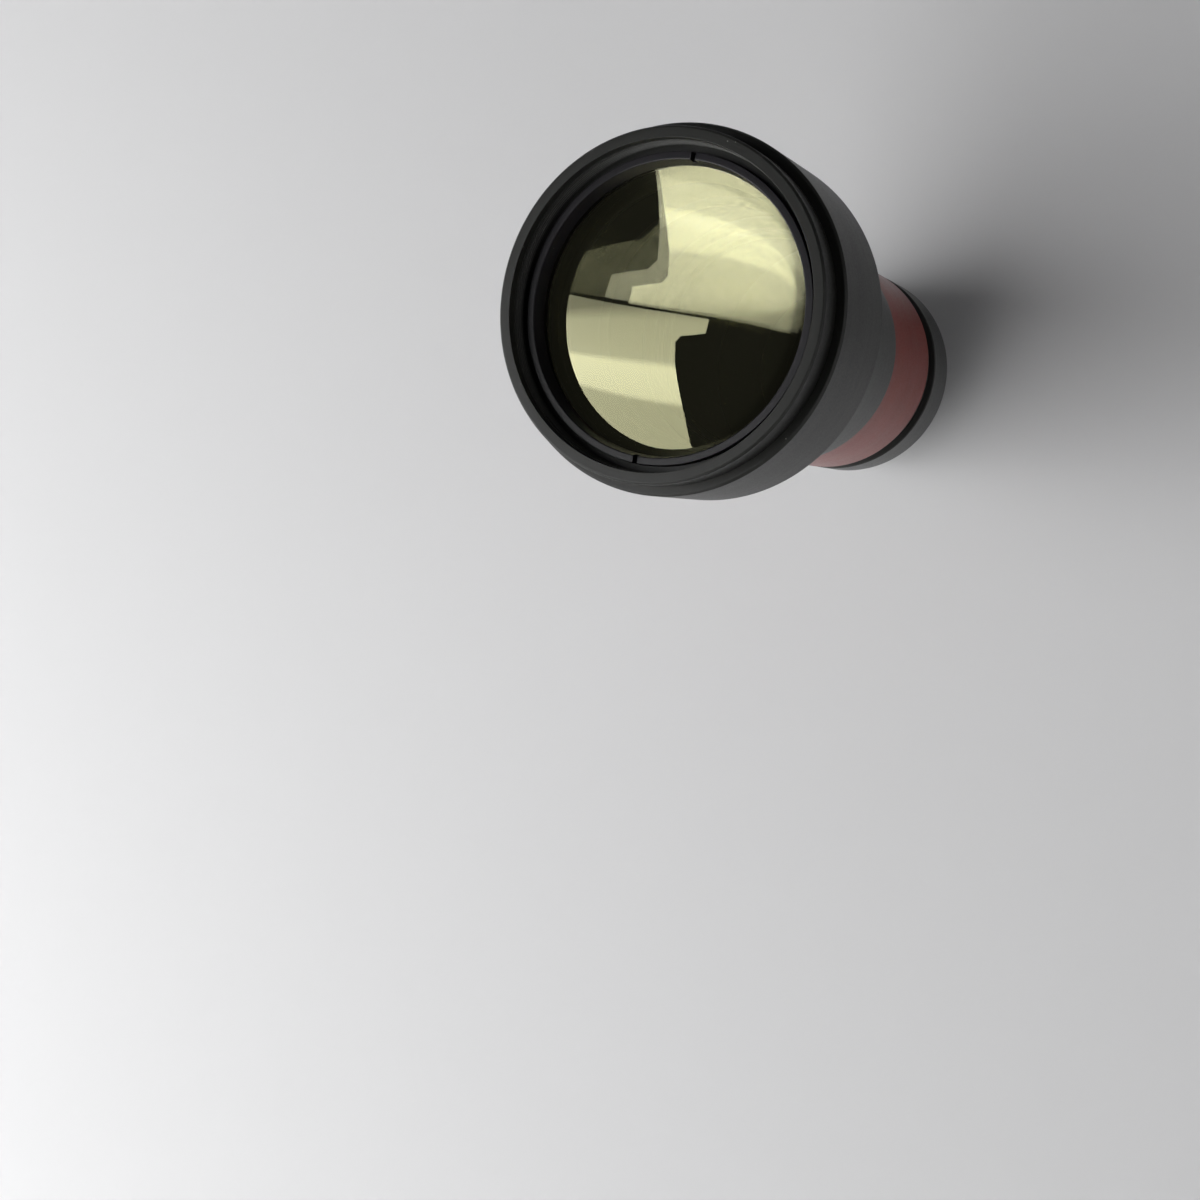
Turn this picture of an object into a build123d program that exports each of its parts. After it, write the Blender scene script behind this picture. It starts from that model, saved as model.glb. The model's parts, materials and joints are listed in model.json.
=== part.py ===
from build123d import *
import math
import os

# Laser beam expander. A wide output housing carries the large lens group, a slim barrel with a red
# sleeve runs down from it, and a ring near the input end slides the small input lens along the axis.
# Sizes are in millimetres. A depth is measured from the output face down the optical axis, and
# height() turns it into Z, so that the input end stands on Z = 0 with the axis on Z.

# Clearances, radial or axial
thread_gap = 0.05
lens_bore_gap = 0.05
glass_seat_gap = 0.03
running_gap = 0.05
sliding_gap = 0.04
axial_play = 0.1
pin_play = 0.06
slot_end_gap = 0.3
pad_lift = 0.3
bonded_gap = 0.03

# How far a cutting shape runs past the wall it cuts
cut_over = 1.0

# Output lenses, the sizes that the whole output end is built out from
output_lens_radius = 25.4
front_lens_front_curve = 110.0
front_lens_back_curve = 90.0
front_lens_edge = 2.37
rear_lens_front_curve = 86.0
rear_lens_back_curve = 250.0
rear_lens_thickness = 3.5
lens_spacer_wall = 1.2
lens_spacer_length = 1.0

# Output cell: steps and walls outward from the lens bore
ring_thread_step = 0.49
filter_thread_step = 1.18
filter_relief_depth = 0.48
flange_wall = 2.13
cell_wall = 2.8
lens_seat_width = 3.85
cell_flange_length = 5.35
cell_flange_chamfer = 0.35
filter_lead_in = 0.35
filter_thread_length = 3.2
ring_channel_drop = 1.36
cell_shoulder_length = 3.0
aperture_bevel = 2.2

# Output retaining ring
output_ring_drop = 0.29
output_ring_length = 3.2
output_ring_wall = 1.69
output_ring_flare = 0.39
spanner_slot_width = 0.9
spanner_slot_depth = 1.5
spanner_slot_angle = 8.8

# Output housing
rim_step = 1.75
rim_length = 20.25
rim_chamfer = 0.4
rim_back_step = 1.6
cone_length = 8.4
neck_wall = 2.35
neck_length = 6.0
cell_end_gap = 0.3
throat_step = 3.3

# Main barrel
barrel_wall = 3.0
spigot_wall = 1.5
spigot_length = 10.0
grey_length = 25.8
sleeve_length = 25.7
sleeve_wall = 0.9
sleeve_step = 0.25
sleeve_edge_chamfer = 0.2
groove_depth = 1.6
groove_neck_length = 4.8
bearing_wall = 5.5
guide_length = 26.1
end_spigot_step = 1.5
end_spigot_length = 3.4
barrel_edge_chamfer = 0.25

# Baffles
baffle_skirt_wall = 0.8
baffle_disc_thickness = 0.8
baffle_edge_bevel = 0.6
baffle_bore_gap = 0.05
front_baffle_lip = 2.95
front_baffle_length = 20.0
rear_baffle_lip = 7.45
rear_baffle_length = 20.4
baffle_ring_wall = 1.95
baffle_ring_length = 3.0
baffle_slot_width = 1.2
baffle_slot_depth = 1.2

# Divergence ring and its cam groove
ring_wall = 3.2
ring_length = 10.6
ring_step = 0.25
ring_front_chamfer = 0.15
ring_rear_chamfer = 0.6
ring_turn = 150.0
lead = 3.0
cam_groove_depth = 1.05
cam_groove_angle = 45.0
lock_hole_angle = 135.0
lock_hole_offset = 2.8
plug_gap = 0.1

# Washers
glide_washer_width = 1.8
front_glide_thickness = 0.7
rear_glide_thickness = 0.5
washer_bore_gap = 0.1
wave_washer_width = 1.3
wave_washer_thickness = 0.3
wave_amplitude = 0.2
wave_count = 3
wave_samples = 24
wave_seat_gap = 0.02

# Input lens and its retaining ring, which the cell, the guide and the ring are built out from
input_lens_radius = 6.35
input_lens_curve = 10.4
input_lens_thickness = 2.0
input_ring_wall = 1.6
input_ring_lip = 0.95
input_ring_length = 2.5
input_slot_width = 0.9
input_slot_depth = 1.0

# Input cell
input_cell_wall = 5.01
input_cell_length = 14.0
input_cell_land = 3.5
input_cell_relief = 0.35
pin_from_cell_front = 8.0
input_lens_lip = 0.85
input_cell_front_wall = 1.5

# Drive pin
pin_shank_radius = 1.25
pin_thread_radius = 1.0
pin_foot_wall = 1.36
pin_seat_depth = 0.3
pin_tip_gap = 0.2
pin_slot_width = 0.5
pin_slot_depth = 0.6

# Input mount
mount_wall = 2.95
mount_floor_wall = 1.0
mount_end_gap = 0.1
stub_radius = 15.0
stub_wall = 5.5
stub_length = 7.0
stub_relief_length = 1.0
stub_relief_depth = 0.8
stub_chamfer = 0.5
input_bore_bevel = 0.8
flange_chamfer = 0.4

# Set screws
screw_thread_gap = 0.03
screw_sink = 0.3
screw_tip_gap = 0.02
housing_screw_radius = 1.25
housing_screw_angle = 90.0
mount_screw_radius = 1.0
mount_screw_angle = 30.0
ring_screw_radius = 1.5
lock_pad_length = 0.6
screw_count = 3
socket_share = 0.5
socket_depth = 1.0

# Depths along the axis, each worked out from the sizes above
rim_end = cell_flange_length + rim_length
cone_end = rim_end + cone_length
neck_end = cone_end + neck_length
spigot_start = neck_end - spigot_length
sleeve_start = neck_end + grey_length
sleeve_end = sleeve_start + sleeve_length
bearing_start = sleeve_end + groove_neck_length
ring_start = bearing_start + front_glide_thickness + axial_play
ring_end = ring_start + ring_length
ring_middle = (ring_start + ring_end) / 2
rear_glide_start = ring_end + axial_play
wave_washer_start = rear_glide_start + rear_glide_thickness + wave_seat_gap
wave_washer_height = wave_washer_thickness + 2 * wave_amplitude
mount_start = wave_washer_start + wave_washer_height + wave_seat_gap
barrel_end = mount_start + end_spigot_length
mount_floor = barrel_end + mount_end_gap
flange_end = mount_floor + mount_floor_wall
overall_length = flange_end + stub_length
guide_start = barrel_end - guide_length

# Radii of the output end, outward from the output lens
lens_bore_radius = output_lens_radius + lens_bore_gap
output_aperture_radius = lens_bore_radius - lens_seat_width
lens_spacer_bore_radius = output_lens_radius - lens_spacer_wall
ring_thread_radius = lens_bore_radius + ring_thread_step
output_ring_radius = ring_thread_radius - thread_gap
output_ring_bore_radius = output_ring_radius - output_ring_wall
output_ring_face_radius = output_ring_bore_radius + output_ring_flare
filter_thread_radius = ring_thread_radius + filter_thread_step
filter_relief_radius = filter_thread_radius + filter_relief_depth
cell_flange_radius = filter_thread_radius + flange_wall
cell_thread_radius = lens_bore_radius + cell_wall
housing_bore_radius = cell_thread_radius + thread_gap
throat_radius = housing_bore_radius - throat_step
rim_radius = cell_flange_radius + rim_step

# Radii of the input end, outward from the input lens to the ring
input_ring_radius = input_lens_radius + input_ring_wall - thread_gap
input_ring_thread_radius = input_ring_radius + thread_gap
input_ring_bore_radius = input_lens_radius - input_ring_lip
input_cell_aperture_radius = input_lens_radius - input_lens_lip
input_cell_radius = input_ring_thread_radius + input_cell_wall
input_cell_relief_radius = input_cell_radius - input_cell_relief
guide_radius = input_cell_radius + sliding_gap
bearing_radius = guide_radius + bearing_wall
ring_bore_radius = bearing_radius + running_gap
cam_floor_radius = ring_bore_radius + cam_groove_depth
ring_radius = ring_bore_radius + ring_wall
washer_bore_radius = bearing_radius + washer_bore_gap
glide_washer_radius = washer_bore_radius + glide_washer_width
wave_washer_radius = washer_bore_radius + wave_washer_width
end_spigot_radius = bearing_radius - end_spigot_step
mount_bore_radius = end_spigot_radius + thread_gap
mount_flange_radius = mount_bore_radius + mount_wall
input_bore_radius = stub_radius - stub_wall

# Radii of the barrel, which stands just proud of the ring so that a tube clamp passes over the ring
barrel_radius = ring_radius + ring_step
barrel_bore_radius = barrel_radius - barrel_wall
spigot_radius = barrel_bore_radius + spigot_wall
neck_bore_radius = spigot_radius + thread_gap
neck_radius = neck_bore_radius + neck_wall
sleeve_radius = barrel_radius - sleeve_step
sleeve_bore_radius = sleeve_radius - sleeve_wall
sleeve_seat_radius = sleeve_bore_radius - bonded_gap
groove_neck_radius = barrel_radius - groove_depth
baffle_radius = barrel_bore_radius - baffle_bore_gap

# Cam travel: the groove climbs by the lead in one turn, so half the ring's range moves the cell by this
travel = lead * ring_turn / 360.0
cam_groove_half_width = pin_shank_radius + pin_play
pin_tip_radius = cam_floor_radius - pin_tip_gap


def sag(radius, curve):
    """How far a spherical surface of the given curve falls away at this radius."""
    return curve - math.sqrt(curve ** 2 - radius ** 2)


# Depths in the lens stack, from the retaining ring down to the shoulder of the cell
filter_thread_end = filter_lead_in + filter_thread_length
output_ring_face_depth = filter_thread_end + output_ring_drop
ring_channel_depth = output_ring_face_depth + ring_channel_drop
output_ring_end = output_ring_face_depth + output_ring_length
front_lens_vertex = output_ring_end + glass_seat_gap - sag(output_ring_bore_radius, front_lens_front_curve)
front_lens_curves = (front_lens_front_curve, front_lens_back_curve)
front_lens_thickness = front_lens_edge + sum(sag(output_lens_radius, curve) for curve in front_lens_curves)
front_lens_back = front_lens_vertex + front_lens_thickness
spacer_start = front_lens_back - sag(lens_spacer_bore_radius, front_lens_back_curve) + glass_seat_gap
spacer_end = spacer_start + lens_spacer_length
rear_lens_vertex = spacer_end + glass_seat_gap + sag(output_lens_radius, rear_lens_front_curve)
rear_lens_back = rear_lens_vertex + rear_lens_thickness
lens_shoulder = rear_lens_back - sag(output_aperture_radius, rear_lens_back_curve) + glass_seat_gap
cell_end = lens_shoulder + cell_shoulder_length
housing_floor = cell_end + cell_end_gap

# Depths in the input cell
input_cell_start = ring_middle - pin_from_cell_front
input_cell_end = input_cell_start + input_cell_length
input_lens_start = input_cell_start + input_cell_front_wall
input_lens_edge = input_lens_thickness + 2 * sag(input_lens_radius, input_lens_curve)
input_lens_end = input_lens_start + input_lens_edge
input_ring_end = input_lens_end + input_ring_length


def height(depth):
    """Z of a depth behind the output face."""
    return overall_length - depth


def turned(*corners):
    """Solid of revolution about the optical axis, from (radius, depth) corners."""
    outline = Polyline([(radius, 0, height(depth)) for radius, depth in corners], close=True)
    return revolve(make_face(outline), Axis.Z)


def radial_plane(radius, angle, depth):
    """Plane square to a radial line, with its normal outward and its x along the optical axis."""
    outward = Vector(math.cos(math.radians(angle)), math.sin(math.radians(angle)), 0)
    return Plane(origin=outward * radius + Vector(0, 0, height(depth)), x_dir=(0, 0, 1), z_dir=outward)


def radial_pin(radius, inner, outer, angle, depth):
    """Round pin that points at the axis, from the inner to the outer radius."""
    return extrude(radial_plane(inner, angle, depth) * Circle(radius), outer - inner)


def spanner_slots(outer_radius, width, slot_depth, face_depth, angle):
    """Bar across a ring's face, which cuts its two spanner slots."""
    bar = Box(2 * outer_radius + 2 * width, width, 2 * slot_depth)
    return Pos(0, 0, height(face_depth)) * Rot(0, 0, angle) * bar


def set_screw(radius, inner, outer, angle, depth):
    """Headless screw on a radial line, with a hexagon socket in its outer end."""
    hexagon = radial_plane(outer, angle, depth) * RegularPolygon(radius * socket_share, 6)
    socket = extrude(hexagon, -socket_depth)
    return radial_pin(radius, inner, outer, angle, depth) - socket


def lens(edge_radius, front_curve, back_curve, front_vertex, thickness):
    """Lens from its edge radius and two curves. A positive curve has its centre behind the surface."""
    back_vertex = front_vertex + thickness

    def surface_depth(radius, curve, vertex):
        return vertex + math.copysign(sag(radius, abs(curve)), curve)

    def surface(curve, vertex):
        steps = (0.0, edge_radius / 2, edge_radius)
        points = [(r, 0, height(surface_depth(r, curve, vertex))) for r in steps]
        return ThreePointArc(*points)

    front = surface(front_curve, front_vertex)
    back = surface(back_curve, back_vertex)
    rim = Line(front @ 1, back @ 1)
    axis_line = Line(front @ 0, back @ 0)
    return revolve(make_face([front, rim, back, axis_line]), Axis.Z)


def make_output_cell():
    """Flanged cell: filter thread, relief, ring thread, lens bore and the shoulder the glass rests on."""
    ring_thread_end = output_ring_end + thread_gap
    return turned(
        (filter_thread_radius + filter_lead_in, 0),
        (cell_flange_radius - cell_flange_chamfer, 0),
        (cell_flange_radius, cell_flange_chamfer),
        (cell_flange_radius, cell_flange_length),
        (cell_thread_radius, cell_flange_length),
        (cell_thread_radius, cell_end),
        (output_aperture_radius + aperture_bevel, cell_end),
        (output_aperture_radius, lens_shoulder + cell_shoulder_length / 3),
        (output_aperture_radius, lens_shoulder),
        (lens_bore_radius, lens_shoulder),
        (lens_bore_radius, ring_thread_end),
        (ring_thread_radius, ring_thread_end),
        (ring_thread_radius, ring_channel_depth),
        (filter_relief_radius, ring_channel_depth),
        (filter_relief_radius, filter_thread_end),
        (filter_thread_radius, filter_thread_end),
        (filter_thread_radius, filter_lead_in),
    )


def make_output_retaining_ring():
    """Threaded ring with a conical inner wall and two spanner slots in its face."""
    ring = turned(
        (output_ring_face_radius, output_ring_face_depth),
        (output_ring_radius, output_ring_face_depth),
        (output_ring_radius, output_ring_end),
        (output_ring_bore_radius, output_ring_end),
    )
    return ring - spanner_slots(
        output_ring_radius, spanner_slot_width, spanner_slot_depth, output_ring_face_depth, spanner_slot_angle
    )


def make_output_lens_spacer():
    """Thin ring that sets the air gap between the two output lenses."""
    return turned(
        (lens_spacer_bore_radius, spacer_start),
        (output_lens_radius, spacer_start),
        (output_lens_radius, spacer_end),
        (lens_spacer_bore_radius, spacer_end),
    )


def make_output_housing():
    """Wide rim, a cone down to the neck, and one bore for the cell and one for the barrel."""
    body = turned(
        (housing_bore_radius, cell_flange_length),
        (rim_radius - rim_chamfer, cell_flange_length),
        (rim_radius, cell_flange_length + rim_chamfer),
        (rim_radius, rim_end - rim_chamfer),
        (rim_radius - rim_chamfer, rim_end),
        (rim_radius - rim_back_step, rim_end),
        (neck_radius, cone_end),
        (neck_radius, neck_end - rim_chamfer),
        (neck_radius - rim_chamfer, neck_end),
        (neck_bore_radius, neck_end),
        (neck_bore_radius, spigot_start),
        (throat_radius, housing_floor),
        (housing_bore_radius, housing_floor),
    )
    for angle in screw_angles(housing_screw_angle):
        hole = housing_screw_radius + screw_thread_gap
        body -= radial_pin(hole, spigot_radius - thread_gap, neck_radius + cut_over, angle, screw_row_depth)
    return body


def make_main_barrel():
    """Barrel with a spigot at each end, a seat for the sleeve, the ring's bearing and the cell's guide."""
    body = turned(
        (barrel_bore_radius, spigot_start),
        (spigot_radius, spigot_start),
        (spigot_radius, neck_end),
        (barrel_radius, neck_end),
        (barrel_radius, sleeve_start - barrel_edge_chamfer),
        (barrel_radius - barrel_edge_chamfer, sleeve_start),
        (sleeve_seat_radius, sleeve_start),
        (sleeve_seat_radius, sleeve_end),
        (groove_neck_radius, sleeve_end),
        (groove_neck_radius, bearing_start),
        (bearing_radius, bearing_start),
        (bearing_radius, mount_start),
        (end_spigot_radius, mount_start),
        (end_spigot_radius, barrel_end),
        (guide_radius, barrel_end),
        (guide_radius, guide_start),
        (barrel_bore_radius, guide_start),
    )
    return body - guide_slot()


def guide_slot():
    """Straight slot through the barrel's wall, which keeps the drive pin from turning."""
    half_width = pin_shank_radius + pin_play
    half_length = pin_shank_radius + travel + slot_end_gap
    stadium = radial_plane(guide_radius - cut_over, cam_groove_angle, ring_middle) * SlotOverall(
        2 * half_length, 2 * half_width
    )
    return extrude(stadium, bearing_radius - guide_radius + 2 * cut_over)


def make_red_sleeve():
    """Thin sleeve bonded on the barrel's seat."""
    return turned(
        (sleeve_bore_radius, sleeve_start),
        (sleeve_radius - sleeve_edge_chamfer, sleeve_start),
        (sleeve_radius, sleeve_start + sleeve_edge_chamfer),
        (sleeve_radius, sleeve_end - sleeve_edge_chamfer),
        (sleeve_radius - sleeve_edge_chamfer, sleeve_end),
        (sleeve_bore_radius, sleeve_end),
    )


def baffle(lip, start, length):
    """Cup with a sharp-edged hole in its floor; the skirt spaces it from the next piece."""
    aperture = baffle_radius - lip
    skirt_bore = baffle_radius - baffle_skirt_wall
    return turned(
        (aperture, start),
        (baffle_radius, start),
        (baffle_radius, start + length),
        (skirt_bore, start + length),
        (skirt_bore, start + baffle_disc_thickness),
        (aperture + baffle_edge_bevel, start + baffle_disc_thickness),
    )


def make_baffle_retaining_ring():
    """Threaded ring that holds both baffles against the barrel's shoulder."""
    ring = turned(
        (baffle_radius - baffle_ring_wall, baffle_ring_start),
        (baffle_radius, baffle_ring_start),
        (baffle_radius, front_baffle_start),
        (baffle_radius - baffle_ring_wall, front_baffle_start),
    )
    return ring - spanner_slots(baffle_radius, baffle_slot_width, baffle_slot_depth, baffle_ring_start, 0)


def washer(outer, start, thickness):
    """Flat washer round the bearing."""
    return turned(
        (washer_bore_radius, start),
        (outer, start),
        (outer, start + thickness),
        (washer_bore_radius, start + thickness),
    )


def make_wave_washer():
    """Spring washer whose height waves round its circle."""

    def wavy_edge(radius, offset):
        points = []
        for step in range(wave_samples):
            turn = 2 * math.pi * step / wave_samples
            rise = wave_amplitude * math.cos(wave_count * turn)
            points.append((radius * math.cos(turn), radius * math.sin(turn), wave_middle + rise + offset))
        return Spline(points, periodic=True)

    wave_middle = height(wave_washer_start + wave_washer_height / 2)
    half = wave_washer_thickness / 2
    inner_low = wavy_edge(washer_bore_radius, -half)
    inner_high = wavy_edge(washer_bore_radius, half)
    outer_low = wavy_edge(wave_washer_radius, -half)
    outer_high = wavy_edge(wave_washer_radius, half)
    loops = (inner_low, outer_low, outer_high, inner_high)
    walls = [Face.make_surface_from_curves(a, b) for a, b in zip(loops, loops[1:] + loops[:1])]
    return Solid(Shell(walls))


def cam_groove():
    """Right-hand helical groove, cut from inside the ring, with round ends where the pin stops."""
    inner = ring_bore_radius - cut_over
    middle = (inner + cam_floor_radius) / 2
    path = Helix(pitch=lead, height=2 * travel, radius=middle)
    section = Plane(origin=path @ 0, x_dir=(1, 0, 0), z_dir=path % 0) * Rectangle(
        cam_floor_radius - inner, 2 * cam_groove_half_width
    )
    groove = sweep(section, path=path, is_frenet=True)
    start_angle = cam_groove_angle - ring_turn
    groove = Pos(0, 0, height(ring_middle) - travel) * Rot(0, 0, start_angle) * groove
    ends = [
        radial_pin(cam_groove_half_width, inner, cam_floor_radius, cam_groove_angle + side * ring_turn,
                   ring_middle - side * travel)
        for side in (-1, 1)
    ]
    return groove + ends[0] + ends[1]


def make_divergence_ring():
    """Smooth ring with the cam groove inside, the pin's access hole and the lock screw's hole."""
    ring = turned(
        (ring_bore_radius, ring_start),
        (ring_radius - ring_front_chamfer, ring_start),
        (ring_radius, ring_start + ring_front_chamfer),
        (ring_radius, ring_end - ring_rear_chamfer),
        (ring_radius - ring_rear_chamfer, ring_end),
        (ring_bore_radius, ring_end),
    )
    ring -= cam_groove()
    hole = ring_screw_radius + screw_thread_gap
    for angle, depth in ((cam_groove_angle, ring_middle), (lock_hole_angle, lock_depth)):
        ring -= radial_pin(hole, ring_bore_radius - cut_over, ring_radius + cut_over, angle, depth)
    return ring


def make_input_cell():
    """Sliding cell: two lands on the guide, the lens seat, the ring thread and the pin's threaded hole."""
    body = turned(
        (input_cell_aperture_radius, input_cell_start),
        (input_cell_radius, input_cell_start),
        (input_cell_radius, input_cell_start + input_cell_land),
        (input_cell_relief_radius, input_cell_start + input_cell_land),
        (input_cell_relief_radius, input_cell_end - input_cell_land),
        (input_cell_radius, input_cell_end - input_cell_land),
        (input_cell_radius, input_cell_end),
        (input_ring_thread_radius, input_cell_end),
        (input_ring_thread_radius, input_lens_end),
        (input_lens_radius + lens_bore_gap, input_lens_end),
        (input_lens_radius + lens_bore_gap, input_lens_start),
        (input_cell_aperture_radius, input_lens_start),
    )
    seat = pin_shank_radius + screw_thread_gap
    thread = pin_thread_radius + screw_thread_gap
    thread_foot = pin_root_radius - screw_thread_gap
    body -= radial_pin(seat, pin_seat_radius, guide_radius, cam_groove_angle, ring_middle)
    body -= radial_pin(thread, thread_foot, guide_radius, cam_groove_angle, ring_middle)
    return body


def make_input_retaining_ring():
    """Threaded ring with two spanner slots that face the input end."""
    ring = turned(
        (input_ring_bore_radius, input_lens_end),
        (input_ring_radius, input_lens_end),
        (input_ring_radius, input_ring_end),
        (input_ring_bore_radius, input_ring_end),
    )
    return ring - spanner_slots(input_ring_radius, input_slot_width, input_slot_depth, input_ring_end, 0)


def make_drive_pin():
    """Shouldered screw: thread in the cell, shank through the slot, tip in the cam groove."""
    thread = radial_pin(pin_thread_radius, pin_root_radius, pin_seat_radius, cam_groove_angle, ring_middle)
    shank = radial_pin(pin_shank_radius, pin_seat_radius, pin_tip_radius, cam_groove_angle, ring_middle)
    tip = radial_plane(pin_tip_radius, cam_groove_angle, ring_middle)
    slot = extrude(tip * Rectangle(2 * pin_shank_radius + cut_over, pin_slot_width), -pin_slot_depth)
    return thread + shank - slot


def make_input_mount():
    """End piece that captures the ring: flange, screw bore for the barrel and the threaded stub."""
    root = flange_end + stub_relief_length
    body = turned(
        (mount_bore_radius, mount_start),
        (mount_flange_radius, mount_start),
        (mount_flange_radius, flange_end - flange_chamfer),
        (mount_flange_radius - flange_chamfer, flange_end),
        (stub_radius - stub_relief_depth, flange_end),
        (stub_radius - stub_relief_depth, root),
        (stub_radius, root),
        (stub_radius, overall_length - stub_chamfer),
        (stub_radius - stub_chamfer, overall_length),
        (input_bore_radius + input_bore_bevel, overall_length),
        (input_bore_radius, overall_length - input_bore_bevel),
        (input_bore_radius, mount_floor),
        (mount_bore_radius, mount_floor),
    )
    for angle in screw_angles(mount_screw_angle):
        hole = mount_screw_radius + screw_thread_gap
        body -= radial_pin(hole, end_spigot_radius, mount_flange_radius + cut_over, angle, mount_screw_depth)
    return body


def screw_angles(first):
    """Angles of evenly spaced screws round the axis."""
    return [first + 360.0 * index / screw_count for index in range(screw_count)]


def screw_group(radius, seat, surface, first_angle, depth):
    """Set screws at even angles, each from just off its seat to just under the surface."""
    screws = [
        set_screw(radius, seat + screw_tip_gap, surface - screw_sink, angle, depth)
        for angle in screw_angles(first_angle)
    ]
    return Compound(children=screws)


# Places that follow from the depths and radii above
screw_row_depth = (cone_end + neck_end) / 2
mount_screw_depth = (mount_start + barrel_end) / 2
lock_depth = ring_middle + lock_hole_offset
rear_baffle_start = guide_start - rear_baffle_length
front_baffle_start = rear_baffle_start - front_baffle_length
baffle_ring_start = front_baffle_start - baffle_ring_length
pin_seat_radius = input_cell_relief_radius - pin_seat_depth
pin_root_radius = input_ring_thread_radius + pin_foot_wall
lock_pad_radius = ring_bore_radius + pad_lift
lock_screw_seat = lock_pad_radius + lock_pad_length

nodes = {
    "output_cell": make_output_cell(),
    "output_retaining_ring": make_output_retaining_ring(),
    "output_lens_front": lens(
        output_lens_radius,
        front_lens_front_curve,
        -front_lens_back_curve,
        front_lens_vertex,
        front_lens_thickness,
    ),
    "output_lens_spacer": make_output_lens_spacer(),
    "output_lens_rear": lens(
        output_lens_radius,
        -rear_lens_front_curve,
        -rear_lens_back_curve,
        rear_lens_vertex,
        rear_lens_thickness,
    ),
    "output_housing": make_output_housing(),
    "housing_set_screws": screw_group(
        housing_screw_radius, spigot_radius, neck_radius, housing_screw_angle, screw_row_depth
    ),
    "main_barrel": make_main_barrel(),
    "red_sleeve": make_red_sleeve(),
    "baffle_retaining_ring": make_baffle_retaining_ring(),
    "front_baffle": baffle(front_baffle_lip, front_baffle_start, front_baffle_length),
    "rear_baffle": baffle(rear_baffle_lip, rear_baffle_start, rear_baffle_length),
    "front_glide_washer": washer(glide_washer_radius, bearing_start, front_glide_thickness),
    "divergence_ring": make_divergence_ring(),
    "pin_access_plug": set_screw(
        ring_screw_radius,
        cam_floor_radius + plug_gap,
        ring_radius - screw_sink,
        cam_groove_angle,
        ring_middle,
    ),
    "lock_screw": set_screw(
        ring_screw_radius, lock_screw_seat, ring_radius - screw_sink, lock_hole_angle, lock_depth
    ),
    "lock_pad": radial_pin(ring_screw_radius, lock_pad_radius, lock_screw_seat, lock_hole_angle, lock_depth),
    "rear_glide_washer": washer(glide_washer_radius, rear_glide_start, rear_glide_thickness),
    "wave_washer": make_wave_washer(),
    "input_cell": make_input_cell(),
    "input_lens": lens(
        input_lens_radius,
        -input_lens_curve,
        input_lens_curve,
        input_lens_start + sag(input_lens_radius, input_lens_curve),
        input_lens_thickness,
    ),
    "input_retaining_ring": make_input_retaining_ring(),
    "drive_pin": make_drive_pin(),
    "input_mount": make_input_mount(),
    "input_mount_screws": screw_group(
        mount_screw_radius, end_spigot_radius, mount_flange_radius, mount_screw_angle, mount_screw_depth
    ),
}

os.makedirs("parts", exist_ok=True)
for name, solid in nodes.items():
    export_step(solid, f"parts/{name}.step")
print("overall length", round(overall_length, 3), "cell travel each way", round(travel, 3))
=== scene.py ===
# %% [markdown]
# # A laser beam expander, turned and finished in Blender
# The object is a wide lens housing on a slim barrel. Nearly every piece is turned on a lathe, so this
# lesson makes them as a lathe does: a profile is drawn and spun round the optical axis. The packed
# CAD model is loaded first. It is the fixed frame, so every new piece goes where its solid stands.

# %% Load the frame
import json
import math
import bpy
from mathutils import Matrix, Vector


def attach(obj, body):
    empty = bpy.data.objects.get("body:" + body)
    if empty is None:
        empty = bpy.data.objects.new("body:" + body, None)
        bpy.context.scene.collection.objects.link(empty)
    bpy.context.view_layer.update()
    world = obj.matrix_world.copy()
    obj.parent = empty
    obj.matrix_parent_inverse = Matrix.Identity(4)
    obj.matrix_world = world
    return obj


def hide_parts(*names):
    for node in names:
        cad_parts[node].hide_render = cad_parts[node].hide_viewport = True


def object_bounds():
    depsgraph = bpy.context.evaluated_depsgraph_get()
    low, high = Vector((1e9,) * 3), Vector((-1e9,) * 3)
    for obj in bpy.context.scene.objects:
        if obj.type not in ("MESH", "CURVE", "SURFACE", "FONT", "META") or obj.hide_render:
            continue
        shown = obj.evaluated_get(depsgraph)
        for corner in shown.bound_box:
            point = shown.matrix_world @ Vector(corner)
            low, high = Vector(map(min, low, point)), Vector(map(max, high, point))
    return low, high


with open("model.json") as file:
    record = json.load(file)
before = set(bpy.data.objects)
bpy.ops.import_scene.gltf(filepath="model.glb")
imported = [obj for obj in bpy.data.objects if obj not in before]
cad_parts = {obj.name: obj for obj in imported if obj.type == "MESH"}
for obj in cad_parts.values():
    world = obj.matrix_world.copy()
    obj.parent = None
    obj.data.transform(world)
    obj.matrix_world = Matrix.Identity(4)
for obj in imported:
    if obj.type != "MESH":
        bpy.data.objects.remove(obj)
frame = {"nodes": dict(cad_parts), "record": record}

cad_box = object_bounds()
print("CAD box in mm:", [round(v * 1000, 2) for corner in cad_box for v in corner])

# %% [markdown]
# ## Sizes
# Lengths are written in millimetres, as they would stand on a drawing, and mm() turns them into
# Blender's metres. A depth is measured from the output face down the optical axis, because that is
# the face a turner would measure from. level() gives its height above the input end.

# %% Sizes shared by several pieces
MM = 0.001


def mm(value):
    """Millimetres as Blender's metres."""
    return value * MM


LENGTH = cad_box[1].z / MM
ROUND_STEPS = 160


def level(depth):
    """Height in millimetres of a depth below the output face."""
    return LENGTH - depth


print("overall length", round(LENGTH, 2), "mm")

# %% [markdown]
# ## The camera
# The photograph was taken from about 26 cm away, off to one side of the optical axis, and rolled. The
# camera's place was worked out from the circles of the output end, so it is written here as a position
# and three directions. A camera looks along its own minus Z.

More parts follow.
